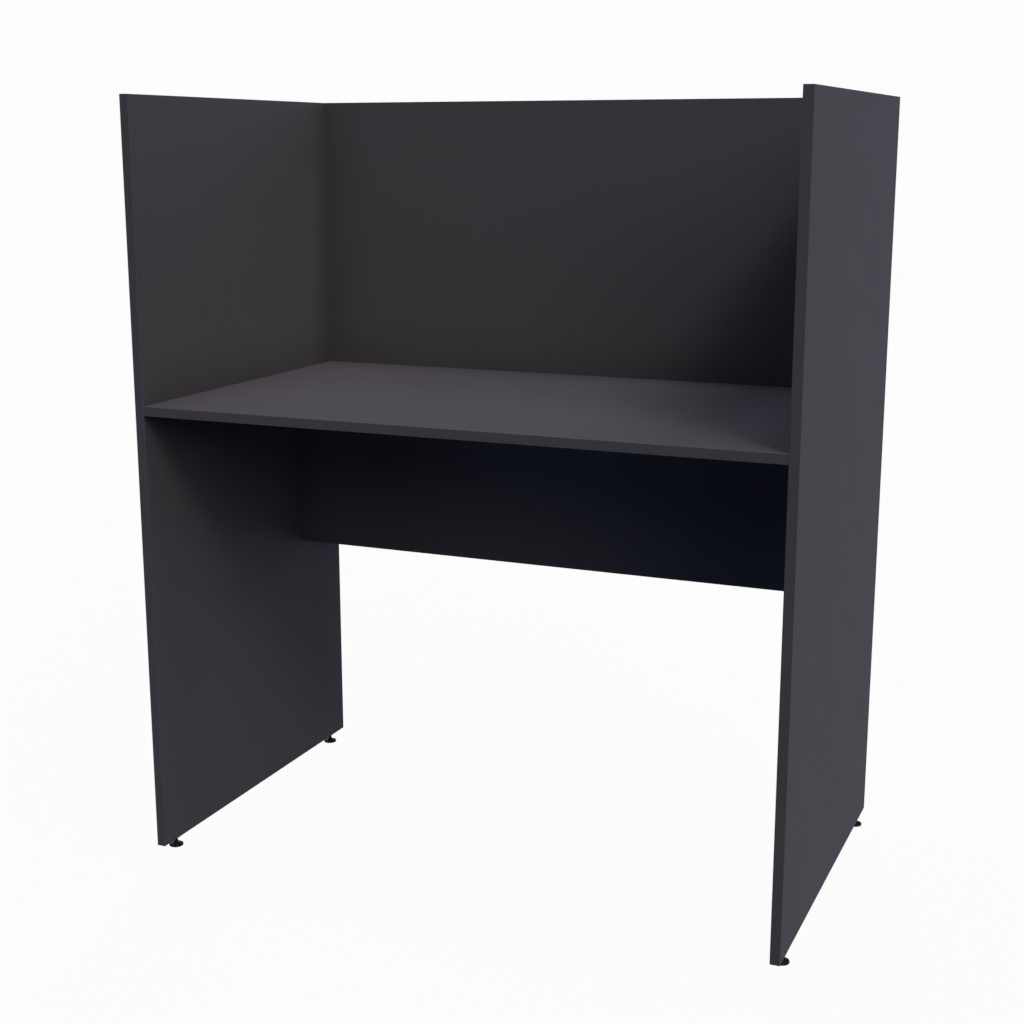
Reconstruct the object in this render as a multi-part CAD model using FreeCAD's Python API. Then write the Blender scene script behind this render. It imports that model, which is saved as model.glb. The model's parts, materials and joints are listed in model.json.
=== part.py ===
import FreeCAD, Part
import os

# Study carrel: a single free-standing study place made of melamine-faced board.
# Two full-height side panels carry a worktop, a back screen that stands on the rear of the
# worktop, and a modesty panel that hangs under it. Cam locks, their bolts and dowels hold the
# boards together, and each side panel stands on two screw-adjusted feet.
#
# Millimetres. X runs across the carrel, -Y is the open front where the reader sits, +Z is up.
# The origin is on the floor, under the middle of the carrel.

Vector = FreeCAD.Vector
X = Vector(1, 0, 0)
Y = Vector(0, 1, 0)
Z = Vector(0, 0, 1)

# ---- carrel ---------------------------------------------------------------------------------
WIDTH = 1030.0  # over the outer faces of the side panels
DEPTH = 600.0
HEIGHT = 1200.0
BOARD = 15.0  # thickness of every board
DESK_HEIGHT = 737.0  # floor to the top of the worktop
FOOT_HEIGHT = 15.0  # floor to the underside of the side panels
MODESTY_HEIGHT = 301.0
MODESTY_SETBACK = 116.5  # rear edge of the worktop to the rear face of the modesty panel

# ---- edge tape ------------------------------------------------------------------------------
TAPE = 1.0  # thickness
TAPE_ROUND = 0.8  # radius along the two outer edges

# ---- cam lock, its bolt and its cap ---------------------------------------------------------
CAM_RADIUS = 7.45
CAM_LENGTH = 12.0
CAM_HOLE_RADIUS = 7.5
CAM_HOLE_DEPTH = 12.2
CAM_SETBACK = 34.0  # board end to the cam's axis
CAM_CHAMBER_RADIUS = 4.6  # room for the bolt's head inside the cam
CAM_CHAMBER_ROOF = 3.8
CAM_CHAMBER_FLOOR = 0.8
CAM_MOUTH_RADIUS = 3.7  # where the bolt's head goes in, a quarter turn from its locked place
CAM_SLOT = 5.0  # width of the slot that holds the bolt's neck
CAM_SLOT_OVERTRAVEL = 30.0  # degrees that the slot runs past the bolt
CROSS_LENGTH = 6.5  # screwdriver recess in the cam's face
CROSS_WIDTH = 1.5
CROSS_DEPTH = 2.2
BOLT_HEAD_RADIUS = 3.5
BOLT_HEAD_LENGTH = 2.3
BOLT_HEAD_GAP = 0.2  # bolt's head to the chamber's wall
BOLT_NECK_RADIUS = 2.1
BOLT_NECK_END = 8.6  # cam's axis to the end of the neck
BOLT_SHANK_RADIUS = 3.5
BOLT_BORE_RADIUS = 4.0
BOLT_THREAD_RADIUS = 3.0
BOLT_THREAD_LENGTH = 11.0
BOLT_HOLE_RADIUS = 3.05
BOLT_HOLE_DEPTH = 11.5
CAP_RADIUS = 8.25
CAP_THICKNESS = 0.8
CAP_PEG_RADIUS = 0.7
CAP_PEG_LENGTH = 1.8

# ---- dowel ----------------------------------------------------------------------------------
DOWEL_RADIUS = 3.95
DOWEL_HOLE_RADIUS = 4.0
DOWEL_IN_MATE = 10.0  # length in the face of the board that it joins
DOWEL_IN_PANEL = 20.0  # length in the end of the board that it fixes
DOWEL_GAP = 0.5  # empty depth at each end of the dowel's holes
DOWEL_CHAMFER = 0.8

# ---- places of the fittings -----------------------------------------------------------------
DESK_CAM_Y = 240.0  # from the middle of the depth
DESK_DOWEL_Y = 150.0
SCREEN_CAM_EDGE = 60.0  # from the screen's lower and upper ends
SCREEN_DOWEL_EDGE = 160.0
MODESTY_CAM_EDGE = 50.0
MODESTY_DOWEL_EDGE = 100.0
RAIL_CAM_X = 250.0  # screen and modesty panel to the worktop
RAIL_DOWEL_X = (-400.0, 0.0, 400.0)

# ---- levelling foot -------------------------------------------------------------------------
FOOT_SETBACK = 41.0  # front or rear edge of the side panel to the foot's axis
RUNNING_GAP = 0.05  # radial clearance between a turning piece and its bore
GLIDE_RADIUS = 11.5
GLIDE_RIM = 2.9  # height of the rim
GLIDE_SOLE_RADIUS = 11.2
GLIDE_SOLE_BEVEL = 0.3
GLIDE_SHOULDER = 0.9  # rounding of the rim's upper edge
GLIDE_HUB_RADIUS = 5.2
GLIDE_HUB_TOP = 4.5
HUB_LIP = 1.5  # height of the lip that keeps the stem's head in the glide
GLIDE_FLOOR = 1.2  # thickness under the stem's head
HEAD_PLAY = 0.1
STEM_RADIUS = 3.0  # M6
STEM_TOP = 39.0
STEM_CHAMFER = 0.7
STEM_HEAD_RADIUS = 4.0
HEX_ACROSS_FLATS = 7.0
HEX_HEIGHT = 2.6
INSERT_RADIUS = 4.95
INSERT_HOLE_RADIUS = 5.0
INSERT_LENGTH = 13.0
INSERT_FLANGE_RADIUS = 6.5
INSERT_FLANGE = 1.0
STEM_HOLE_RADIUS = 3.6
STEM_HOLE_TOP = 47.0

# ---- derived places -------------------------------------------------------------------------
INSIDE = WIDTH / 2 - BOARD
HALF_DEPTH = DEPTH / 2
DESK_UNDERSIDE = DESK_HEIGHT - BOARD
SCREEN_MIDDLE_Y = HALF_DEPTH - BOARD / 2
MODESTY_MIDDLE_Y = HALF_DEPTH - MODESTY_SETBACK - BOARD / 2
MODESTY_BOTTOM = DESK_UNDERSIDE - MODESTY_HEIGHT
SIDE_MIDDLE_X = INSIDE + BOARD / 2
FOOT_Y = HALF_DEPTH - FOOT_SETBACK

solids = {}  # node name: list of its solids


def add(node, solid):
    solids.setdefault(node, []).append(solid)


def drill(node, hole):
    solids[node] = [solid.cut(hole) for solid in solids[node]]


# ---- shapes ---------------------------------------------------------------------------------
def block(low, high):
    size = high - low
    return Part.makeBox(size.x, size.y, size.z, low)


def rod(radius, base, direction, length):
    return Part.makeCylinder(radius, length, base, direction)


def lathe(outline):
    """Turn a closed outline of (radius, height) points about Z."""
    points = [Vector(radius, 0, height) for radius, height in outline]
    wire = Part.makePolygon(points + points[:1])
    return Part.Face(wire).revolve(Vector(), Z, 360)


def placed(shape, origin, x_axis, z_axis):
    """Move a shape so that its own origin, X and Z go to the given point and directions."""
    turn = FreeCAD.Rotation(x_axis, z_axis.cross(x_axis), z_axis, "ZXY")
    moved = shape.copy()
    moved.Placement = FreeCAD.Placement(origin, turn)
    return moved


def round_ring(solid, radius, height, fillet):
    """Round the circular edge of a turned solid at this radius and height."""
    ring = [
        edge
        for edge in solid.Edges
        if hasattr(edge.Curve, "Radius")
        and abs(edge.Curve.Radius - radius) < 1e-6
        and abs(edge.BoundBox.ZMin - height) < 1e-6
        and abs(edge.BoundBox.ZMax - height) < 1e-6
    ]
    return solid.makeFillet(fillet, ring)


def edge_tape(start, along, outwards, length):
    """A strip of tape on a board's edge, its two outer long edges rounded.

    start is the middle of the board's raw edge, at the strip's end.
    """
    across = along.cross(outwards)
    half, flat = BOARD / 2, BOARD / 2 - TAPE_ROUND
    shoulder = TAPE - TAPE_ROUND
    bulge = TAPE_ROUND * 0.5**0.5

    def at(offset, height):
        return start + across * offset + outwards * height

    def corner(side):
        middle = at(side * (flat + bulge), shoulder + bulge)
        return Part.Arc(at(side * half, shoulder), middle, at(side * flat, TAPE)).toShape()

    edges = [
        Part.makeLine(at(-half, 0), at(half, 0)),
        Part.makeLine(at(half, 0), at(half, shoulder)),
        corner(1),
        Part.makeLine(at(flat, TAPE), at(-flat, TAPE)),
        corner(-1),
        Part.makeLine(at(-half, shoulder), at(-half, 0)),
    ]
    profile = Part.Wire(Part.__sortEdges__(edges))
    return Part.Face(profile).extrude(along * length)


# ---- fittings -------------------------------------------------------------------------------
def cam_lock():
    """Cam with its face at the origin looking along +Z, locked on a bolt that comes in from +X."""
    bolt_z = -BOARD / 2
    cam = rod(CAM_RADIUS, Vector(0, 0, -CAM_LENGTH), Z, CAM_LENGTH)
    floor = Vector(0, 0, CAM_CHAMBER_FLOOR - CAM_LENGTH)
    chamber = rod(CAM_CHAMBER_RADIUS, floor, Z, CAM_LENGTH - CAM_CHAMBER_FLOOR - CAM_CHAMBER_ROOF)
    mouth = rod(CAM_MOUTH_RADIUS, Vector(0, 0, bolt_z), Y, CAM_RADIUS + 1)
    slot_low = Vector(0, 0, bolt_z - CAM_SLOT / 2)
    slot = Part.makeCylinder(CAM_RADIUS + 1, CAM_SLOT, slot_low, Z, 90 + CAM_SLOT_OVERTRAVEL)
    slot.rotate(Vector(), Z, -CAM_SLOT_OVERTRAVEL)
    cam = cam.cut(chamber).cut(mouth).cut(slot)
    for turn in (45, 135):
        groove = block(
            Vector(-CROSS_LENGTH / 2, -CROSS_WIDTH / 2, -CROSS_DEPTH),
            Vector(CROSS_LENGTH / 2, CROSS_WIDTH / 2, 1),
        )
        groove.rotate(Vector(), Z, turn)
        cam = cam.cut(groove)
    return cam


def cam_bolt():
    """Bolt along Z, with the cam's axis at the origin and the board's end at CAM_SETBACK."""
    head_end = CAM_CHAMBER_RADIUS - BOLT_HEAD_GAP - BOLT_NECK_RADIUS / 4
    tip = CAM_SETBACK + BOLT_THREAD_LENGTH
    return lathe(
        [
            (0, head_end - BOLT_HEAD_LENGTH),
            (BOLT_HEAD_RADIUS * 0.7, head_end - BOLT_HEAD_LENGTH),
            (BOLT_HEAD_RADIUS, head_end - BOLT_HEAD_LENGTH * 0.6),
            (BOLT_NECK_RADIUS, head_end),
            (BOLT_NECK_RADIUS, BOLT_NECK_END),
            (BOLT_SHANK_RADIUS, BOLT_NECK_END),
            (BOLT_SHANK_RADIUS, CAM_SETBACK),
            (BOLT_THREAD_RADIUS, CAM_SETBACK),
            (BOLT_THREAD_RADIUS, tip - BOLT_THREAD_RADIUS / 2),
            (BOLT_THREAD_RADIUS / 2, tip),
            (0, tip),
        ]
    )


def cover_cap():
    cap = rod(CAP_RADIUS, Vector(), Z, CAP_THICKNESS)
    cap = round_ring(cap, CAP_RADIUS, CAP_THICKNESS, CAP_THICKNESS / 2)
    return cap.fuse(rod(CAP_PEG_RADIUS, Vector(0, 0, -CAP_PEG_LENGTH), Z, CAP_PEG_LENGTH + 0.1))


def dowel():
    """Dowel along Z, with the joint between the two boards at the origin."""
    low, high = -DOWEL_IN_MATE, DOWEL_IN_PANEL
    return lathe(
        [
            (0, low),
            (DOWEL_RADIUS - DOWEL_CHAMFER, low),
            (DOWEL_RADIUS, low + DOWEL_CHAMFER),
            (DOWEL_RADIUS, high - DOWEL_CHAMFER),
            (DOWEL_RADIUS - DOWEL_CHAMFER, high),
            (0, high),
        ]
    )


CAM_LOCK, CAM_BOLT, COVER_CAP, DOWEL = cam_lock(), cam_bolt(), cover_cap(), dowel()


def fix_with_cam(panel, mate, end, into, face):
    """Pull a panel's end against its mate with a cam lock.

    end is on the panel's end, at mid-thickness; into points from the mate into the panel;
    face points out of the face that the cam is fitted from.
    """
    axis = end + into * CAM_SETBACK
    rim = axis + face * (BOARD / 2)
    drill(panel, rod(CAM_HOLE_RADIUS, rim, -face, CAM_HOLE_DEPTH))
    drill(panel, rod(BOLT_BORE_RADIUS, end, into, CAM_SETBACK))
    drill(mate, rod(BOLT_HOLE_RADIUS, end, -into, BOLT_HOLE_DEPTH))
    add(panel + "_cam_locks", placed(CAM_LOCK, rim, -into, face))
    add(panel + "_cam_bolts", placed(CAM_BOLT, axis, face, -into))
    add(panel + "_cam_caps", placed(COVER_CAP, rim, -into, face))


def fix_with_dowel(panel, mate, end, into):
    drill(panel, rod(DOWEL_HOLE_RADIUS, end, into, DOWEL_IN_PANEL + DOWEL_GAP))
    drill(mate, rod(DOWEL_HOLE_RADIUS, end, -into, DOWEL_IN_MATE + DOWEL_GAP))
    add(panel + "_dowels", placed(DOWEL, end, into.cross(Y if abs(into.y) < 0.5 else X), into))


# ---- boards and their edge tapes ------------------------------------------------------------
def side_panel(side, sign):
    node = side + "_side_panel"
    inner, outer = sorted((sign * INSIDE, sign * (INSIDE + BOARD)))
    low = Vector(inner, -HALF_DEPTH + TAPE, FOOT_HEIGHT + TAPE)
    add(node, block(low, Vector(outer, HALF_DEPTH - TAPE, HEIGHT - TAPE)))
    middle = sign * SIDE_MIDDLE_X
    for end, outwards in (("front", -Y), ("rear", Y)):
        start = Vector(middle, 0, FOOT_HEIGHT) + outwards * (HALF_DEPTH - TAPE)
        add(f"{side}_{end}_edge_tape", edge_tape(start, Z, outwards, HEIGHT - FOOT_HEIGHT))
    for end, outwards, height in (("bottom", -Z, FOOT_HEIGHT + TAPE), ("top", Z, HEIGHT - TAPE)):
        start = Vector(middle, -HALF_DEPTH + TAPE, height)
        add(f"{side}_{end}_edge_tape", edge_tape(start, Y, outwards, DEPTH - 2 * TAPE))


def worktop():
    low = Vector(-INSIDE, -HALF_DEPTH + TAPE, DESK_UNDERSIDE)
    add("worktop", block(low, Vector(INSIDE, HALF_DEPTH - TAPE, DESK_HEIGHT)))
    for end, outwards in (("front", -Y), ("rear", Y)):
        start = Vector(-INSIDE, 0, DESK_HEIGHT - BOARD / 2) + outwards * (HALF_DEPTH - TAPE)
        add(f"worktop_{end}_edge_tape", edge_tape(start, X, outwards, 2 * INSIDE))


def back_screen():
    low = Vector(-INSIDE, HALF_DEPTH - BOARD, DESK_HEIGHT)
    add("back_screen", block(low, Vector(INSIDE, HALF_DEPTH, HEIGHT - TAPE)))
    start = Vector(-INSIDE, SCREEN_MIDDLE_Y, HEIGHT - TAPE)
    add("back_screen_top_edge_tape", edge_tape(start, X, Z, 2 * INSIDE))


def modesty_panel():
    low = Vector(-INSIDE, MODESTY_MIDDLE_Y - BOARD / 2, MODESTY_BOTTOM + TAPE)
    add("modesty_panel", block(low, Vector(INSIDE, MODESTY_MIDDLE_Y + BOARD / 2, DESK_UNDERSIDE)))
    start = Vector(-INSIDE, MODESTY_MIDDLE_Y, MODESTY_BOTTOM + TAPE)
    add("modesty_panel_bottom_edge_tape", edge_tape(start, X, -Z, 2 * INSIDE))


def fix_to_sides(panel, cam_places, dowel_places, face):
    """Fix both ends of a panel; places are (y, z) on its end, at mid-thickness."""
    for side, sign in (("left", -1), ("right", 1)):
        mate, into = side + "_side_panel", X * -sign
        for y, z in cam_places:
            fix_with_cam(panel, mate, Vector(sign * INSIDE, y, z), into, face)
        for y, z in dowel_places:
            fix_with_dowel(panel, mate, Vector(sign * INSIDE, y, z), into)


def fix_to_worktop(panel, y, z, into):
    """Fix a panel's long edge to the worktop, its cams fitted from the rear."""
    for x in (-RAIL_CAM_X, RAIL_CAM_X):
        fix_with_cam(panel, "worktop", Vector(x, y, z), into, Y)
    for x in RAIL_DOWEL_X:
        fix_with_dowel(panel, "worktop", Vector(x, y, z), into)


def fasten_boards():
    desk_middle = DESK_HEIGHT - BOARD / 2
    fix_to_sides(
        "worktop",
        [(y, desk_middle) for y in (-DESK_CAM_Y, DESK_CAM_Y)],
        [(y, desk_middle) for y in (-DESK_DOWEL_Y, DESK_DOWEL_Y)],
        -Z,
    )
    for panel, y, low, high, cam_edge, dowel_edge in (
        (
            "back_screen",
            SCREEN_MIDDLE_Y,
            DESK_HEIGHT,
            HEIGHT,
            SCREEN_CAM_EDGE,
            SCREEN_DOWEL_EDGE,
        ),
        (
            "modesty_panel",
            MODESTY_MIDDLE_Y,
            MODESTY_BOTTOM,
            DESK_UNDERSIDE,
            MODESTY_CAM_EDGE,
            MODESTY_DOWEL_EDGE,
        ),
    ):
        fix_to_sides(
            panel,
            [(y, low + cam_edge), (y, high - cam_edge)],
            [(y, low + dowel_edge), (y, high - dowel_edge)],
            Y,
        )
    fix_to_worktop("back_screen", SCREEN_MIDDLE_Y, DESK_HEIGHT, Z)
    fix_to_worktop("modesty_panel", MODESTY_MIDDLE_Y, DESK_UNDERSIDE, -Z)


# ---- feet -----------------------------------------------------------------------------------
def glide():
    """Plastic disc that stands on the floor and holds the stem's head."""
    disc = lathe(
        [
            (0, 0),
            (GLIDE_SOLE_RADIUS, 0),
            (GLIDE_RADIUS, GLIDE_SOLE_BEVEL),
            (GLIDE_RADIUS, GLIDE_RIM),
            (GLIDE_HUB_RADIUS, GLIDE_HUB_TOP),
            (0, GLIDE_HUB_TOP),
        ]
    )
    disc = round_ring(disc, GLIDE_RADIUS, GLIDE_RIM, GLIDE_SHOULDER)
    lip = GLIDE_HUB_TOP - HUB_LIP
    bore = rod(STEM_RADIUS + RUNNING_GAP, Vector(0, 0, lip), Z, HUB_LIP)
    head_room = rod(
        STEM_HEAD_RADIUS + RUNNING_GAP, Vector(0, 0, GLIDE_FLOOR), Z, lip - GLIDE_FLOOR
    )
    return disc.cut(bore).cut(head_room)


def stem():
    """Threaded stem with a captive head below and a hexagon for a spanner above the glide."""
    head_low = GLIDE_FLOOR + HEAD_PLAY
    head_high = GLIDE_HUB_TOP - HUB_LIP - HEAD_PLAY
    shank = lathe(
        [
            (0, head_low),
            (STEM_HEAD_RADIUS, head_low),
            (STEM_HEAD_RADIUS, head_high),
            (STEM_RADIUS, head_high),
            (STEM_RADIUS, STEM_TOP - STEM_CHAMFER),
            (STEM_RADIUS - STEM_CHAMFER, STEM_TOP),
            (0, STEM_TOP),
        ]
    )
    corner = HEX_ACROSS_FLATS / 3**0.5
    hex_low = Vector(0, 0, GLIDE_HUB_TOP + HEAD_PLAY)
    hexagon = Part.Face(Part.makePolygon(hexagon_points(corner, hex_low)))
    return shank.fuse(hexagon.extrude(Z * HEX_HEIGHT))


def hexagon_points(corner, middle):
    turns = [FreeCAD.Rotation(Z, 60 * i) for i in range(7)]
    return [middle + turn.multVec(X * corner) for turn in turns]


def insert():
    """Flanged bush, pressed into the underside of the side panel, that the stem screws into."""
    flange_low = FOOT_HEIGHT - INSERT_FLANGE
    bore = STEM_RADIUS + RUNNING_GAP
    return lathe(
        [
            (bore, flange_low),
            (INSERT_FLANGE_RADIUS, flange_low),
            (INSERT_FLANGE_RADIUS, FOOT_HEIGHT),
            (INSERT_RADIUS, FOOT_HEIGHT),
            (INSERT_RADIUS, FOOT_HEIGHT + INSERT_LENGTH),
            (bore, FOOT_HEIGHT + INSERT_LENGTH),
        ]
    )


def add_foot(side, end, x, y):
    base = Vector(x, y, FOOT_HEIGHT)
    for node in (f"{side}_side_panel", f"{side}_bottom_edge_tape"):
        drill(node, rod(INSERT_HOLE_RADIUS, base, Z, INSERT_LENGTH))
        drill(node, rod(STEM_HOLE_RADIUS, base, Z, STEM_HOLE_TOP - FOOT_HEIGHT))
    for piece, shape in (("insert", insert()), ("stem", stem()), ("glide", glide())):
        add(f"{end}_{side}_{piece}", placed(shape, Vector(x, y, 0), X, Z))


# ---- assembly -------------------------------------------------------------------------------
side_panel("left", -1)
side_panel("right", 1)
worktop()
back_screen()
modesty_panel()
fasten_boards()
for side, sign in (("left", -1), ("right", 1)):
    for end, y in (("front", -FOOT_Y), ("rear", FOOT_Y)):
        add_foot(side, end, sign * SIDE_MIDDLE_X, y)

os.makedirs("parts", exist_ok=True)
for node, pieces in solids.items():
    shape = pieces[0] if len(pieces) == 1 else Part.makeCompound(pieces)
    shape.exportStep(f"parts/{node}.step")
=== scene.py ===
import json
import math

import bmesh
import bpy
from mathutils import Matrix, Vector

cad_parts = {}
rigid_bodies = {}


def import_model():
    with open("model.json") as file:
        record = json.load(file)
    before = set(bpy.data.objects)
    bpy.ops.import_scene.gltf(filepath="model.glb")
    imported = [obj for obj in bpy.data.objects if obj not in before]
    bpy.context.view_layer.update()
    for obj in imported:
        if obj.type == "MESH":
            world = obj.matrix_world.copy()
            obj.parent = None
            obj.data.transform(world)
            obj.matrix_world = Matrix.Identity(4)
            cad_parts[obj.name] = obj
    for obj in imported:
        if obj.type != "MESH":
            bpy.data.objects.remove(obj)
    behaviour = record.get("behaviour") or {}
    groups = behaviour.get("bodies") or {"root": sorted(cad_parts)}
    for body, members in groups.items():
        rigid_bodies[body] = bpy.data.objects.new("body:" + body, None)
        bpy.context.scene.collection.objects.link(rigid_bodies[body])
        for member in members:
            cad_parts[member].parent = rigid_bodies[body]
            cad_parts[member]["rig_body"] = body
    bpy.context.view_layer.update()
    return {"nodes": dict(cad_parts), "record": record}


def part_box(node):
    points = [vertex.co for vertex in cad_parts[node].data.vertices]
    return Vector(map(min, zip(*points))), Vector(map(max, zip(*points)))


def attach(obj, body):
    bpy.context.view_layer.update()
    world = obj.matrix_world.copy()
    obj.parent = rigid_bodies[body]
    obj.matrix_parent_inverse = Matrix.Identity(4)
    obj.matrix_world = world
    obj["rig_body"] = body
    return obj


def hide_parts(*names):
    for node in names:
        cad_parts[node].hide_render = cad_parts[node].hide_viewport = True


# Looks for the study carrel: procedural materials on its boards, tapes and fittings, and detailed
# meshes for the levelling feet, dowels, bolts and caps. Metres, in the carrel's own frame: X is
# across, -Y is the open front, +Z is up, zero is the floor that the feet stand on at rest.

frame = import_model()
NODES = frame["nodes"]
MM = 0.001

# ---- camera ---------------------------------------------------------------------------------
# Place, turn and lens were solved by a program from the straight edges of the panels in the photo.
CAMERA_PLACE = (0.97357, -2.33976, 1.12675)
CAMERA_YAW = 0.3999  # radians, turned from +Y towards -X
CAMERA_PITCH = 0.2224  # radians, looking down
CAMERA_LENS = 57.06  # mm, on a 36 mm sensor
SENSOR = 36.0

# ---- light ----------------------------------------------------------------------------------
# Azimuth in degrees from the front (-Y) towards +X, elevation and angular size in degrees, strength
# and colour. The bounces stand for light off a pale floor, so they come from below. Twelve of these
# rows were picked from a list of trial lights, and given their strength and colour, by a
# least-squares program that matched the photo's colours. They aren't hand-made.
LIGHTS = {
    "key_high": (50, 48, 22, 1.09, (1.0, 0.93, 0.89)),
    "key_core": (44, 42, 12, 0.59, (1.0, 0.82, 0.67)),
    "key_low": (40, 28, 30, 0.47, (1.0, 0.92, 0.73)),
    "key_skirt": (50, 20, 30, 0.46, (1.0, 0.96, 0.90)),
    "right": (90, 60, 20, 0.91, (1.0, 0.96, 0.92)),
    "overhead": (0, 90, 20, 0.85, (0.85, 0.83, 1.0)),
    "left": (345, 35, 36, 0.30, (0.67, 0.83, 1.0)),
    "rear_high": (180, 70, 50, 0.70, (0.88, 0.86, 1.0)),
    "rear_right": (150, 20, 36, 0.295, (0.65, 0.73, 1.0)),
    "bounce_right": (45, -20, 50, 0.33, (0.50, 0.67, 1.0)),
    "bounce_left": (315, -20, 50, 0.27, (0.47, 0.63, 1.0)),
    "bounce_rear": (180, -25, 60, 0.42, (0.73, 0.77, 1.0)),
    "rear_left": (215, 22, 24, 0.22, (0.62, 0.78, 1.0)),
    "rear_fill": (195, 14, 16, 2.8, (0.97, 0.97, 1.0)),
    "left_fill": (262, 12, 16, 3.0, (1.0, 0.96, 0.99)),
}
MATT_LIGHTS = ("rear_fill", "left_fill")  # they make no highlights
BACKDROP = 0.982  # grey that the camera sees behind the carrel; it gives no light
FLOOR_HALF = 60.0
FLOOR_GREY = 0.01
FLOOR_GLOW = 0.965  # so that the floor is as pale as the backdrop

# ---- materials ------------------------------------------------------------------------------
GRAPHITE = (0.0520, 0.0500, 0.0585)
TAPE_GRAPHITE = (0.0500, 0.0482, 0.0562)
CAP_GRAPHITE = (0.0600, 0.0580, 0.0660)
GLIDE_BLACK = (0.004, 0.0055, 0.0085)
STEEL_BLACK = (0.014, 0.014, 0.017)
CAST_GREY = (0.50, 0.51, 0.53)
PLATING = (0.62, 0.63, 0.66)
CHIP_PALE, CHIP_DARK = (0.46, 0.33, 0.19), (0.24, 0.15, 0.08)
BEECH_PALE, BEECH_DARK = (0.66, 0.45, 0.27), (0.44, 0.27, 0.14)

# sizes of the lumps in each pattern
CLOUD = 160 * MM  # slow drift of the facing's colour
HANDLING = 90 * MM  # patches that hands and cloths have smoothed
FLECK = 0.45 * MM
PEARL = 0.7 * MM  # relief of the facing
CHIP = 2.2 * MM  # chips of the bare particle board
CHIP_DUST = 0.8 * MM
DRAWN_LINE = 0.5 * MM  # lines along an edge tape, from its extrusion
TAPE_FLECK = 0.9 * MM
SHEEN = 9 * MM  # uneven gloss of moulded plastic
CAP_GRAIN = 0.3 * MM
GLIDE_GRAIN = 0.25 * MM
MOTTLE = 2.5 * MM  # mottled plating
PIT = 0.4 * MM
BEECH_GRAIN = 0.7 * MM
BEECH_RAY = 1.2 * MM
TAPE_STRETCH = 0.02  # scale along the grain, so that a pattern is drawn out to lines
BEECH_STRETCH = 0.08

# depths of the relief
BOARD_RELIEF = 0.06 * MM
BEECH_RELIEF = 0.05 * MM
FINE_RELIEF = 0.02 * MM

BARE_ROUGHNESS = 0.35  # how much rougher bare board is than its facing
# Painted shade: an ambient occlusion node darkens the upright boards' colour in their inner
# corners.
CORNER_SHADE_REACH = 90 * MM  # from a corner to where the painted shade ends and the board is as light as elsewhere
CORNER_SHADE_DEPTH = {"X": 0.62, "Y": 0.5}  # how much darker the painted shade makes a hidden point, by thickness axis
CORNER_SHADE_RAYS = 12


class Shader:
    """A material and a short way to write its nodes."""

    def __init__(self, name, roughness, metallic=0.0, specular=0.5):
        self.material = bpy.data.materials.new(name)
        self.material.use_nodes = True
        self.tree = self.material.node_tree
        self.surface = self.tree.nodes["Principled BSDF"]
        self.set(self.surface, {"Roughness": roughness, "Metallic": metallic})
        self.set(self.surface, {"Specular IOR Level": specular})
        self.place = self.node("ShaderNodeTexCoord").outputs["Object"]

    def put(self, socket, value):
        """Links the socket to another one, or gives it a plain value."""
        if hasattr(value, "links"):
            self.tree.links.new(value, socket)
        else:
            socket.default_value = value

    def set(self, node, values):
        for name, value in values.items():
            self.put(node.inputs[name], value)

    def node(self, kind, values=None, **settings):
        made = self.tree.nodes.new(kind)
        for name, value in settings.items():
            setattr(made, name, value)
        self.set(made, values or {})
        return made

    def stretched(self, along_axis, scale):
        """Object coordinates, stretched along one axis."""
        scales = [1.0, 1.0, 1.0]
        scales["XYZ".index(along_axis)] = scale
        mapping = self.node("ShaderNodeMapping", {"Vector": self.place, "Scale": scales})
        return mapping.outputs["Vector"]

    def noise(self, size, detail=3.0, rough=0.5, place=None):
        """Noise from 0 to 1, with lumps of this size in metres."""
        values = {"Vector": place or self.place, "Scale": 1 / size}
        values.update({"Detail": detail, "Roughness": rough})
        return self.node("ShaderNodeTexNoise", values).outputs["Fac"]

    def cells(self, size, place=None):
        """Distance from the middle of cells of this size in metres."""
        values = {"Vector": place or self.place, "Scale": 1 / size}
        return self.node("ShaderNodeTexVoronoi", values, feature="F1").outputs["Distance"]

    def spread(self, source, low, high):
        """source, from 0 to 1, spread over low to high."""
        values = {"Value": source, "To Min": low, "To Max": high}
        return self.node("ShaderNodeMapRange", values).outputs["Result"]

    def math(self, operation, first, second):
        made = self.node("ShaderNodeMath", {0: first, 1: second}, operation=operation)
        return made.outputs["Value"]

    def mix(self, amount, first, second, blend="MIX"):
        made = self.node("ShaderNodeMix", data_type="RGBA", blend_type=blend)
        colours = [socket for socket in made.inputs if socket.type == "RGBA"]
        for socket, value in ((made.inputs[0], amount), (colours[0], first), (colours[1], second)):
            self.put(socket, value)
        return next(socket for socket in made.outputs if socket.type == "RGBA")

    def shade(self, base, source, dark, light):
        """base times a grey that goes from dark to light with source."""
        grey = self.spread(source, dark, light)
        return self.mix(1.0, base, grey, blend="MULTIPLY")

    def painted_corner_shade(self, base, depth):
        """base, with painted shade in the corner with the next board: an ambient occlusion node
        darkens the colour near that board. The lights alone don't give this shade. It matches the
        photo, where the lights alone don't. Whether the cause there is the board or its light
        isn't known.
        """
        values = {"Color": opaque((1, 1, 1)), "Distance": CORNER_SHADE_REACH}
        occlusion = self.node("ShaderNodeAmbientOcclusion", values, samples=CORNER_SHADE_RAYS)
        return self.shade(base, occlusion.outputs["AO"], 1 - depth, 1.0)

    def finish(self, colour, roughness, height, depth, strength=1.0):
        """Gives the surface its colour, its roughness and the relief of this height."""
        values = {"Height": height, "Distance": depth, "Strength": strength}
        normal = self.node("ShaderNodeBump", values).outputs["Normal"]
        self.set(self.surface, {"Base Color": colour, "Roughness": roughness, "Normal": normal})
        return self.material


def opaque(colour):
    return (*colour, 1.0)


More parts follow.
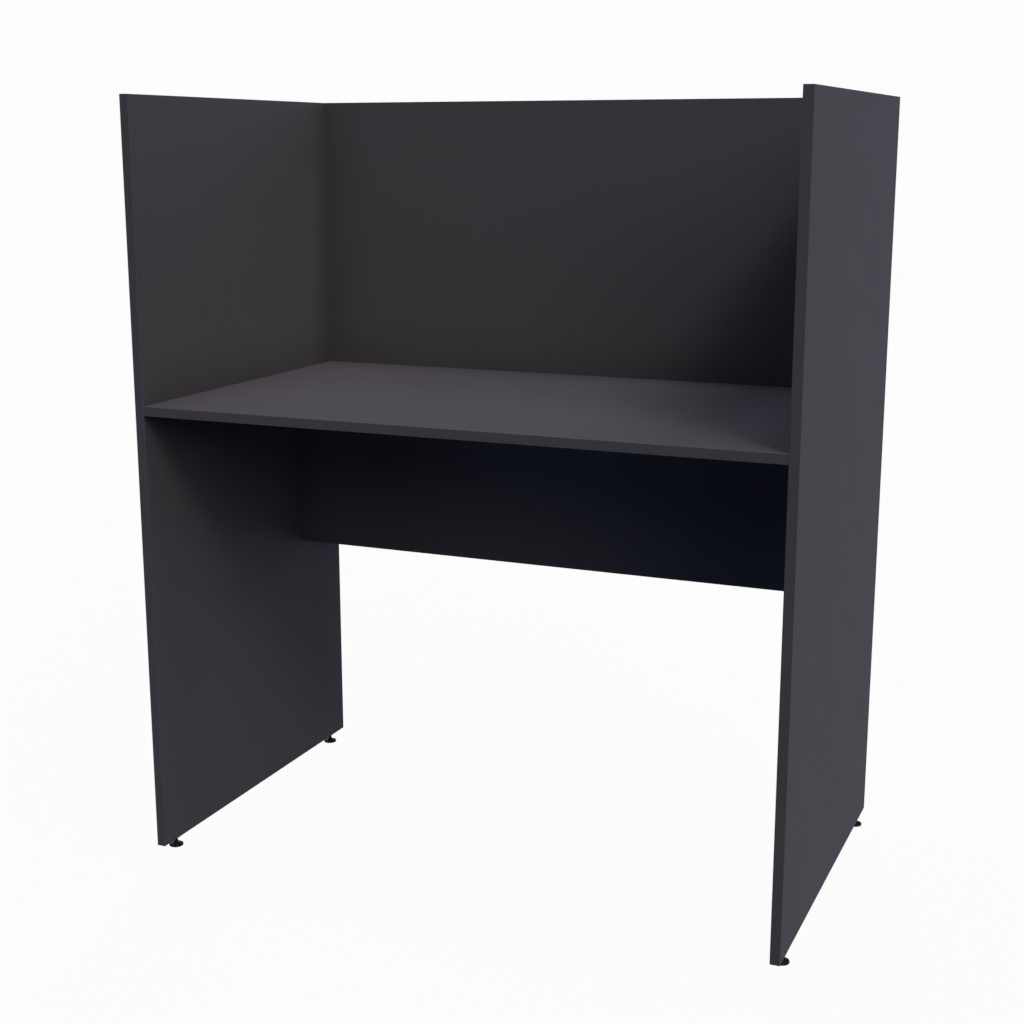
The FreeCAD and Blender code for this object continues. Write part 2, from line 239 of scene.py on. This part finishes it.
def melamine_over(shader):
    """Colour, roughness and height of a matt graphite melamine facing."""
    cloud = shader.noise(CLOUD, detail=4)
    fleck = shader.noise(FLECK, detail=2)
    colour = shader.shade(shader.shade(opaque(GRAPHITE), cloud, 0.98, 1.02), fleck, 0.72, 1.28)
    handled = shader.noise(HANDLING, detail=5, rough=0.6)
    roughness = shader.spread(handled, 0.52, 0.60)
    pearl = shader.noise(PEARL, detail=3, rough=0.6)
    return colour, roughness, pearl


def board_material(name, thickness_axis):
    """Melamine on a board's two faces, bare particle board on its edges and in its holes."""
    shader = Shader(name, 0.55, specular=0.35)
    colour, roughness, pearl = melamine_over(shader)
    if thickness_axis in CORNER_SHADE_DEPTH:
        # painted shade in the corners with the next boards
        colour = shader.painted_corner_shade(colour, CORNER_SHADE_DEPTH[thickness_axis])
    normal = shader.node("ShaderNodeTexCoord").outputs["Normal"]
    parts = shader.node("ShaderNodeSeparateXYZ", {"Vector": normal})
    facing = shader.math("ABSOLUTE", parts.outputs[thickness_axis], 0.0)
    bare = shader.math("LESS_THAN", facing, 0.5)
    chips = shader.cells(CHIP)
    dust = shader.noise(CHIP_DUST, detail=4, rough=0.7)
    wood = shader.shade(shader.mix(chips, opaque(CHIP_PALE), opaque(CHIP_DARK)), dust, 0.7, 1.25)
    colour = shader.mix(bare, colour, wood)
    roughness = shader.math("ADD", roughness, shader.spread(bare, 0.0, BARE_ROUGHNESS))
    return shader.finish(colour, roughness, shader.mix(bare, pearl, dust), BOARD_RELIEF)


def tape_material(name, along_axis):
    """PVC edge tape: the board's colour, a little smoother, with faint lines along its length."""
    shader = Shader(name, 0.5, specular=0.35)
    drawn = shader.noise(DRAWN_LINE, detail=3, place=shader.stretched(along_axis, TAPE_STRETCH))
    fleck = shader.noise(TAPE_FLECK, detail=2)
    colour = shader.shade(shader.shade(opaque(TAPE_GRAPHITE), drawn, 0.95, 1.05), fleck, 0.97, 1.03)
    return shader.finish(colour, shader.spread(drawn, 0.44, 0.56), drawn, FINE_RELIEF, 0.4)


def plastic_material(name, base, roughness, grain, specular):
    """Moulded plastic with a fine spark-eroded grain and slightly uneven sheen."""
    shader = Shader(name, roughness[0], specular=specular)
    spark = shader.noise(grain, detail=3, rough=0.6)
    worn = shader.noise(SHEEN, detail=4)
    colour = shader.shade(shader.shade(opaque(base), worn, 0.85, 1.15), spark, 0.94, 1.06)
    return shader.finish(colour, shader.spread(worn, *roughness), spark, FINE_RELIEF, 0.5)


def metal_material(name, base, roughness, metallic=1.0):
    """Plated, blackened or cast metal: a mottled surface with a pitted grain."""
    shader = Shader(name, roughness[0], metallic=metallic)
    mottle = shader.noise(MOTTLE, detail=5, rough=0.6)
    colour = shader.shade(opaque(base), mottle, 0.8, 1.15)
    uneven = shader.spread(mottle, *roughness)
    return shader.finish(colour, uneven, shader.cells(PIT), FINE_RELIEF, 0.3)


def beech_material(name, along_axis):
    """Beech with its short flecks, grain along the dowel."""
    shader = Shader(name, 0.6, specular=0.3)
    place = shader.stretched(along_axis, BEECH_STRETCH)
    grain = shader.noise(BEECH_GRAIN, detail=6, rough=0.65, place=place)
    rays = shader.cells(BEECH_RAY, place=place)
    wood = shader.mix(grain, opaque(BEECH_PALE), opaque(BEECH_DARK))
    colour = shader.shade(wood, rays, 0.85, 1.1)
    return shader.finish(colour, shader.spread(grain, 0.5, 0.7), grain, BEECH_RELIEF, 0.5)


BOARDS = {axis: board_material(f"graphite_board_{axis}", axis) for axis in "XYZ"}
TAPES = {axis: tape_material(f"edge_tape_{axis}", axis) for axis in "XYZ"}
FINISHES = {  # by the record's slot
    "cap_plastic": plastic_material("cap_plastic", CAP_GRAPHITE, (0.45, 0.6), CAP_GRAIN, 0.45),
    "black_plastic": plastic_material("black_plastic", GLIDE_BLACK, (0.3, 0.42), GLIDE_GRAIN, 0.22),
    "black_steel": metal_material("black_steel", STEEL_BLACK, (0.32, 0.5), metallic=0.6),
    "cast_zinc": metal_material("cast_zinc", CAST_GREY, (0.35, 0.55)),
    "zinc_plated_steel": metal_material("zinc_plated_steel", PLATING, (0.22, 0.4)),
    "beech": beech_material("beech_X", "X"),
}


def paint(thing, material):
    thing.data.materials.clear()
    thing.data.materials.append(material)


def axis_of(node, extreme):
    """The axis of a node's longest (extreme=max) or thinnest (extreme=min) side."""
    low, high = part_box(node)
    sizes = list(high - low)
    return "XYZ"[sizes.index(extreme(sizes))]


def paint_cad_nodes():
    for part in frame["record"]["subparts"]:
        node, slot = part["node"], part["material_slot"]
        if slot == "edge_tape":
            paint(NODES[node], TAPES[axis_of(node, max)])
        elif slot == "graphite_board":
            paint(NODES[node], BOARDS[axis_of(node, min)])
        else:
            paint(NODES[node], FINISHES[slot])


# ---- turned shapes --------------------------------------------------------------------------
# Millimetres from here to the end of the fittings; build() turns them into metres.
SEGMENTS = 36  # columns round a turned shape; a multiple of six, for the hexagon's corners
WELD = 1e-3  # points nearer than this become one
SHARP = math.radians(32)
THREAD_ROWS = 6  # rows to each turn of a thread
THREAD_PROFILE = (0.0, 0.0, 0.45, 1.0, 1.0, 0.45)  # height of the ridge in each row, root to root
THREAD_FADE = 0.6  # turns over which a thread runs out


def at(number_or_rule, angle):
    return number_or_rule(angle) if callable(number_or_rule) else number_or_rule


def ring(radius, height):
    """Points round Z; the radius and the height may each be a rule of the angle."""
    points = []
    for step in range(SEGMENTS + 1):
        angle = math.tau * step / SEGMENTS
        reach = at(radius, angle)
        points.append((reach * math.cos(angle), reach * math.sin(angle), at(height, angle)))
    return points


def rings(outline):
    return [ring(radius, height) for radius, height in outline]


def rounded(corners, steps=4):
    """The outline of (radius, height, rounding) corners, with each rounding made an arc."""
    outline = []
    for i, (radius, height, rounding) in enumerate(corners):
        here = Vector((radius, height))
        if not rounding:
            outline.append(here)
            continue
        before, after = corners[i - 1], corners[(i + 1) % len(corners)]
        to_before = (Vector(before[:2]) - here).normalized()
        to_after = (Vector(after[:2]) - here).normalized()
        half = to_before.angle(to_after) / 2
        centre = here + (to_before + to_after).normalized() * (rounding / math.sin(half))
        first = here + to_before * (rounding / math.tan(half)) - centre
        last = here + to_after * (rounding / math.tan(half)) - centre
        for step in range(steps + 1):
            outward = first.slerp(last, step / steps).normalized()
            outline.append(centre + outward * rounding)
    return outline


def thread(radius, depth, pitch, low, high):
    """Rows of a screw thread: crests at radius, cut to this depth, fading out at both ends."""
    rows = []
    for step in range(-THREAD_ROWS, math.ceil((high - low) / pitch * THREAD_ROWS) + 1):

        def height(angle, step=step):
            climbed = low + pitch * (step / THREAD_ROWS + angle / math.tau)
            return min(max(climbed, low), high)

        def reach(angle, step=step):
            to_end = min(height(angle) - low, high - height(angle))
            fade = min(to_end / (THREAD_FADE * pitch), 1.0)
            return radius - depth * (1 - fade * THREAD_PROFILE[step % THREAD_ROWS])

        rows.append(ring(reach, height))
    return rows


def build(node, name, rows, places, slot, looped=False):
    """One closed mesh from rows of points, copied to each place, that stands for a CAD node."""
    mesh = bmesh.new()
    rows = rows + rows[:1] if looped else rows
    for place in places:
        columns = [[mesh.verts.new(place @ Vector(point)) for point in row] for row in rows]
        for lower, upper in zip(columns, columns[1:]):
            for i in range(SEGMENTS):
                mesh.faces.new((lower[i], lower[i + 1], upper[i + 1], upper[i]))
    bmesh.ops.remove_doubles(mesh, verts=mesh.verts, dist=WELD)
    bmesh.ops.recalc_face_normals(mesh, faces=mesh.faces)
    bmesh.ops.scale(mesh, verts=mesh.verts, vec=(MM, MM, MM))
    data = bpy.data.meshes.new(name)
    mesh.to_mesh(data)
    mesh.free()
    data.polygons.foreach_set("use_smooth", [True] * len(data.polygons))
    data.set_sharp_from_angle(angle=SHARP)
    piece = bpy.data.objects.new(name, data)
    bpy.context.scene.collection.objects.link(piece)
    paint(piece, FINISHES[slot])
    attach(piece, NODES[node]["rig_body"])
    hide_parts(node)


# ---- levelling feet -------------------------------------------------------------------------
GLIDE_RADIUS = 11.5
GLIDE_RIM = 2.9
GLIDE_BEVEL = 0.3
SOLE_DIMPLE = 1.3  # radius of the moulding gate's hollow
SOLE_GROOVE = (6.6, 8.4)  # inner and outer radius
SOLE_GROOVE_DEPTH = 0.45
SOLE_GROOVE_DRAFT = 0.3
GLIDE_CROWN = (8.8, 3.45)  # a point of the shallow cone between rim and hub
HUB_RADIUS = 5.2
HUB_FOOT = (5.45, 3.85)
HUB_TOP = 4.5
HEAD_ROOM = 4.05  # radius of the room for the stem's head
HEAD_FLOOR = 1.2
HUB_LIP = 3.0  # height of the lip's underside
BORE = 3.05  # radius of the holes that the stem turns in
BORE_BEVEL = 0.3
STEM_RADIUS = 3.0
STEM_TOP = 39.0
STEM_HEAD_RADIUS = 4.0
STEM_HEAD = (1.3, 2.9)  # lower and upper height of the captive head
STEM_POINT = 0.5  # chamfer at the stem's upper end
THREAD_PITCH = 1.0
THREAD_DEPTH = 0.6
THREAD_GAP = 0.3  # undercut above the hexagon
HEXAGON = (4.6, 7.2)  # lower and upper height
ACROSS_FLATS = 7.0
HEXAGON_FACE = 0.97  # the end faces are turned to this part of the distance across flats
HEXAGON_STEPS = (0, 0.07, 0.14, 0.22, 0.33, 0.5)  # rows of the chamfer, from the end face
HEXAGON_CHAMFER = math.radians(30)
INSERT_FLANGE_RADIUS = 6.5
INSERT_FLANGE = (14.0, 15.0)
INSERT_RADIUS = 4.95
INSERT_TOP = 28.0
INSERT_MOUTH = 0.4  # bevel of the bore under the flange
BARB = 1.9  # pitch of the barbs
BARBS = 6
BARB_DEPTH = 0.45
FIRST_BARB = 0.8  # above the flange


def glide_rows():
    """Moulded disc: grooved sole, rounded rim, shallow cone and a hub over the stem's head."""
    groove_in, groove_out = SOLE_GROOVE
    corners = [
        (0, 0.3, 0),
        (SOLE_DIMPLE - 0.4, 0.3, 0),
        (SOLE_DIMPLE, 0, 0),
        (groove_in, 0, 0.2),
        (groove_in + SOLE_GROOVE_DRAFT, SOLE_GROOVE_DEPTH, 0.15),
        (groove_out - SOLE_GROOVE_DRAFT, SOLE_GROOVE_DEPTH, 0.15),
        (groove_out, 0, 0.2),
        (GLIDE_RADIUS - GLIDE_BEVEL, 0, 0),
        (GLIDE_RADIUS, GLIDE_BEVEL, 0.15),
        (GLIDE_RADIUS, GLIDE_RIM, 0.9),
        (*GLIDE_CROWN, 1.0),
        (*HUB_FOOT, 0.3),
        (HUB_RADIUS, HUB_TOP, 0.25),
        (BORE + BORE_BEVEL, HUB_TOP, 0),
        (BORE, HUB_TOP - BORE_BEVEL, 0),
        (BORE, HUB_LIP, 0),
        (HEAD_ROOM, HUB_LIP, 0),
        (HEAD_ROOM, HEAD_FLOOR, 0),
        (0, HEAD_FLOOR, 0),
    ]
    return rings(rounded(corners))


def hexagon_reach(angle):
    """Distance from the axis to the flat or corner of a hexagon at this angle."""
    return ACROSS_FLATS / 2 / math.cos(angle % (math.pi / 3) - math.pi / 6)


def hexagon_rows():
    """Hexagon with both ends turned to the usual 30 degree chamfer."""
    low, high = HEXAGON
    face = ACROSS_FLATS / 2 * HEXAGON_FACE
    rows = []
    for height in HEXAGON_STEPS:
        limit = face + height / math.tan(HEXAGON_CHAMFER)
        rows.append((height, lambda angle, limit=limit: min(hexagon_reach(angle), limit)))
    upwards = [ring(reach, low + height) for height, reach in rows]
    return upwards + [ring(reach, high - height) for height, reach in reversed(rows)]


def stem_rows():
    """M6 stem: captive head, plain neck, hexagon and thread, in one piece."""
    head_low, head_high = STEM_HEAD
    hex_low, hex_high = HEXAGON
    root = STEM_RADIUS - THREAD_DEPTH
    thread_low, thread_high = hex_high + THREAD_GAP, STEM_TOP - STEM_POINT
    head = rounded(
        [
            (0, head_low, 0),
            (STEM_HEAD_RADIUS, head_low, 0.3),
            (STEM_HEAD_RADIUS, head_high, 0.2),
            (STEM_RADIUS, head_high, 0),
            (STEM_RADIUS, hex_low, 0),
        ]
    )
    rows = rings(head) + hexagon_rows() + rings([(root, hex_high), (root, thread_low)])
    rows += thread(STEM_RADIUS, THREAD_DEPTH, THREAD_PITCH, thread_low, thread_high)
    return rows + rings([(root, thread_high), (root - STEM_POINT, STEM_TOP), (0, STEM_TOP)])


def insert_rows():
    """Steel bush: a chamfered flange under the panel and barbs that hold in the board."""
    flange_low, flange_high = INSERT_FLANGE
    barb_root = INSERT_RADIUS - BARB_DEPTH
    corners = [
        (BORE + INSERT_MOUTH, flange_low, 0),
        (INSERT_FLANGE_RADIUS, flange_low, 0.35),
        (INSERT_FLANGE_RADIUS, flange_high, 0.1),
        (INSERT_RADIUS, flange_high, 0),
    ]
    for i in range(BARBS):
        foot = flange_high + FIRST_BARB + i * BARB
        corners += [(INSERT_RADIUS, foot, 0), (barb_root, foot + BARB - 0.1, 0)]
    corners += [(barb_root, INSERT_TOP, 0.2), (BORE + BORE_BEVEL, INSERT_TOP, 0)]
    corners += [(BORE, INSERT_TOP - BORE_BEVEL, 0), (BORE, flange_low + INSERT_MOUTH, 0)]
    return rings(rounded(corners))


def feet():
    for end in ("front", "rear"):
        for side in ("left", "right"):
            foot = f"{end}_{side}"
            low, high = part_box(foot + "_glide")
            middle = (low + high) / 2 / MM
            place = [Matrix.Translation((middle.x, middle.y, 0))]
            build(foot + "_glide", foot + "_foot_disc", glide_rows(), place, "black_plastic")
            build(foot + "_stem", foot + "_foot_stem", stem_rows(), place, "black_steel")
            insert = foot + "_threaded_insert"
            build(foot + "_insert", insert, insert_rows(), place, "zinc_plated_steel", looped=True)


# ---- fittings that join the boards ----------------------------------------------------------
DOWEL_RADIUS = 3.95
DOWEL_LENGTH = 30
DOWEL_CHAMFER = 0.9
FLUTE = 0.35
FLUTES = 18
CAP_RADIUS = 8.25
CAP_THICKNESS = 0.8
CAP_EDGE = 0.45  # height of the cap's upright edge
CAP_SLOPE = (0.9, 0.04)  # how far in and how far below the top the crown begins
CAP_PEG = (0.7, 1.8)  # radius and length
BOLT_HEAD_RADIUS = 3.5
BOLT_HEAD = 2.3  # length
BOLT_NECK_RADIUS = 2.1
BOLT_NECK_END = 7.02  # from the head's face
BOLT_SHANK_END = 32.42
BOLT_GROOVES = (0.35, 0.5, 0.65)  # parts of the shank's length
BOLT_GROOVE = (0.6, 0.3)  # half width and depth
BOLT_THREAD_RADIUS = 3.0
BOLT_THREAD_DEPTH = 0.75
BOLT_PITCH = 2.0
BOLT_POINT = 1.0
BOLT_TIP = 43.4


def dowel_rows():
    """Beech dowel with V flutes along it and chamfered ends."""

    def fluted(angle):
        return DOWEL_RADIUS - FLUTE * (1 - math.cos(FLUTES * angle)) / 2

    end = DOWEL_RADIUS - DOWEL_CHAMFER
    outline = [(0, 0), (end, 0), (fluted, DOWEL_CHAMFER)]
    outline += [(fluted, DOWEL_LENGTH - DOWEL_CHAMFER), (end, DOWEL_LENGTH), (0, DOWEL_LENGTH)]
    return rings(outline)


def bolt_rows():
    """Cam bolt from its head: cone, neck, grooved shank and coarse thread."""
    shank = BOLT_HEAD_RADIUS
    half_width, groove_depth = BOLT_GROOVE
    outline = [
        (0, 0, 0),
        (shank * 0.75, 0, 0.4),
        (shank, BOLT_HEAD * 0.4, 0.3),
        (BOLT_NECK_RADIUS, BOLT_HEAD, 0),
        (BOLT_NECK_RADIUS, BOLT_NECK_END, 0),
        (shank, BOLT_NECK_END, 0.4),
    ]
    for part in BOLT_GROOVES:
        middle = BOLT_NECK_END + part * (BOLT_SHANK_END - BOLT_NECK_END)
        outline.append((shank, middle - half_width, 0))
        outline.append((shank - groove_depth, middle, 0))
        outline.append((shank, middle + half_width, 0))
    outline.append((shank, BOLT_SHANK_END, 0.3))
    root = BOLT_THREAD_RADIUS - BOLT_THREAD_DEPTH
    high = BOLT_TIP - BOLT_POINT
    rows = rings(rounded(outline)) + rings([(root, BOLT_SHANK_END)])
    rows += thread(BOLT_THREAD_RADIUS, BOLT_THREAD_DEPTH, BOLT_PITCH, BOLT_SHANK_END, high)
    return rows + rings([(root, high), (root * 0.6, BOLT_TIP), (0, BOLT_TIP)])


def cap_rows():
    """Push-in cover cap: a thin crowned disc and its peg."""
    peg, length = CAP_PEG
    inwards, down = CAP_SLOPE
    corners = [
        (0, -length, 0),
        (peg, -length, 0.2),
        (peg, 0, 0),
        (CAP_RADIUS, 0, 0),
        (CAP_RADIUS, CAP_EDGE, 0.3),
        (CAP_RADIUS - inwards, CAP_THICKNESS - down, 0.5),
        (0, CAP_THICKNESS, 0),
    ]
    return rings(rounded(corners))


def solids_in(node):
    """Lowest and highest corner, in mm, of each separate solid in a CAD node."""
    mesh = bmesh.new()
    mesh.from_mesh(NODES[node].data)
    bmesh.ops.remove_doubles(mesh, verts=mesh.verts, dist=WELD * MM)
    waiting = set(mesh.verts)
    found = []
    while waiting:
        reached = [waiting.pop()]
        for vert in reached:
            beside = {edge.other_vert(vert) for edge in vert.link_edges} & waiting
            waiting -= beside
            reached += beside
        points = [vert.co / MM for vert in reached]
        low = Vector([min(point[i] for point in points) for i in range(3)])
        high = Vector([max(point[i] for point in points) for i in range(3)])
        found.append((low, high))
    mesh.free()
    return sorted(found, key=lambda corners: tuple(corners[0]))


def pointing(start, direction):
    """Place for a shape made along +Z, so that it starts here and points this way."""
    turn = Vector(direction).to_track_quat("Z", "Y").to_matrix().to_4x4()
    return Matrix.Translation(start) @ turn


def places_in(node, facing, lead=0.0, by=max):
    """One place for each solid in a node, along its longest (by=max) or thinnest side.

    facing(middle, axis) is the sign of the direction that the shape points along that axis. The
    shape starts this lead inside the solid's box.
    """
    places = []
    for low, high in solids_in(node):
        size = list(high - low)
        axis = size.index(by(size))
        middle = (low + high) / 2
        direction = Vector()
        direction[axis] = facing(middle, axis)
        start = middle - direction * (size[axis] / 2 - lead)
        places.append(pointing(start, direction))
    return places


def board_fittings():
    desk_low, desk_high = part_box("worktop")
    desk_middle = (desk_low.z + desk_high.z) / 2 / MM

    def forwards(middle, axis):
        return 1

    def towards_mate(middle, axis):
        outwards = middle.x if axis == 0 else desk_middle - middle.z
        return math.copysign(1, outwards)

    def out_of_face(middle, axis):
        return -1 if axis == 2 else 1

    for board in ("worktop", "back_screen", "modesty_panel"):
        dowels, bolts, caps = (f"{board}_{kind}" for kind in ("dowels", "cam_bolts", "cam_caps"))
        places = places_in(dowels, forwards)
        build(dowels, board + "_fluted_dowels", dowel_rows(), places, "beech")
        places = places_in(bolts, towards_mate)
        build(bolts, board + "_connecting_bolts", bolt_rows(), places, "zinc_plated_steel")
        places = places_in(caps, out_of_face, lead=CAP_PEG[1], by=min)
        build(caps, board + "_cover_caps", cap_rows(), places, "cap_plastic")


# ---- stage ----------------------------------------------------------------------------------
def camera():
    data = bpy.data.cameras.new("camera")
    data.lens = CAMERA_LENS
    data.sensor_width = SENSOR
    made = bpy.data.objects.new("camera", data)
    made.location = CAMERA_PLACE
    made.rotation_euler = (math.pi / 2 - CAMERA_PITCH, 0.0, CAMERA_YAW)
    bpy.context.scene.collection.objects.link(made)
    bpy.context.scene.camera = made


def lights():
    for name, (azimuth, elevation, softness, strength, colour) in LIGHTS.items():
        data = bpy.data.lights.new(name, "SUN")
        data.angle = math.radians(softness)
        data.energy = strength
        data.color = colour
        made = bpy.data.objects.new(name, data)
        azimuth, elevation = math.radians(azimuth), math.radians(elevation)
        flat = math.cos(elevation)
        towards = Vector((math.sin(azimuth) * flat, -math.cos(azimuth) * flat, math.sin(elevation)))
        made.rotation_euler = towards.to_track_quat("Z", "Y").to_euler()
        made.visible_glossy = name not in MATT_LIGHTS
        bpy.context.scene.collection.objects.link(made)


def world():
    """A pale backdrop that the camera sees and that gives no light."""
    made = bpy.data.worlds.new("world")
    made.use_nodes = True
    bpy.context.scene.world = made
    nodes, links = made.node_tree.nodes, made.node_tree.links
    backdrop = nodes["Background"]
    backdrop.inputs["Color"].default_value = opaque((BACKDROP, BACKDROP, BACKDROP))
    path = nodes.new("ShaderNodeLightPath")
    links.new(path.outputs["Is Camera Ray"], backdrop.inputs["Strength"])


def lowest_sole():
    """Height of the soles when the stems are screwed right out, lower than at rest."""
    joints = frame["record"]["behaviour"]["joints"]
    return min(joint["range_m"][0] for joint in joints if "range_m" in joint)


def floor():
    """A pale floor, low enough to leave the feet in sight when they are screwed out."""
    half, height = FLOOR_HALF, lowest_sole()
    mesh = bpy.data.meshes.new("floor")
    corners = [(x * half, y * half, height) for x, y in ((-1, -1), (1, -1), (1, 1), (-1, 1))]
    mesh.from_pydata(corners, [], [(0, 1, 2, 3)])
    made = bpy.data.objects.new("floor", mesh)
    bpy.context.scene.collection.objects.link(made)
    material = bpy.data.materials.new("floor")
    material.use_nodes = True
    surface = material.node_tree.nodes["Principled BSDF"]
    surface.inputs["Base Color"].default_value = opaque((FLOOR_GREY, FLOOR_GREY, FLOOR_GREY))
    surface.inputs["Roughness"].default_value = 1.0
    surface.inputs["Specular IOR Level"].default_value = 0.0
    surface.inputs["Emission Color"].default_value = opaque((1, 1, 1))
    surface.inputs["Emission Strength"].default_value = FLOOR_GLOW
    made.data.materials.append(material)
    made.visible_diffuse = False
    made.visible_glossy = False
    made.visible_shadow = False


paint_cad_nodes()
feet()
board_fittings()
camera()
lights()
world()
floor()
bpy.context.scene.view_settings.view_transform = "Standard"
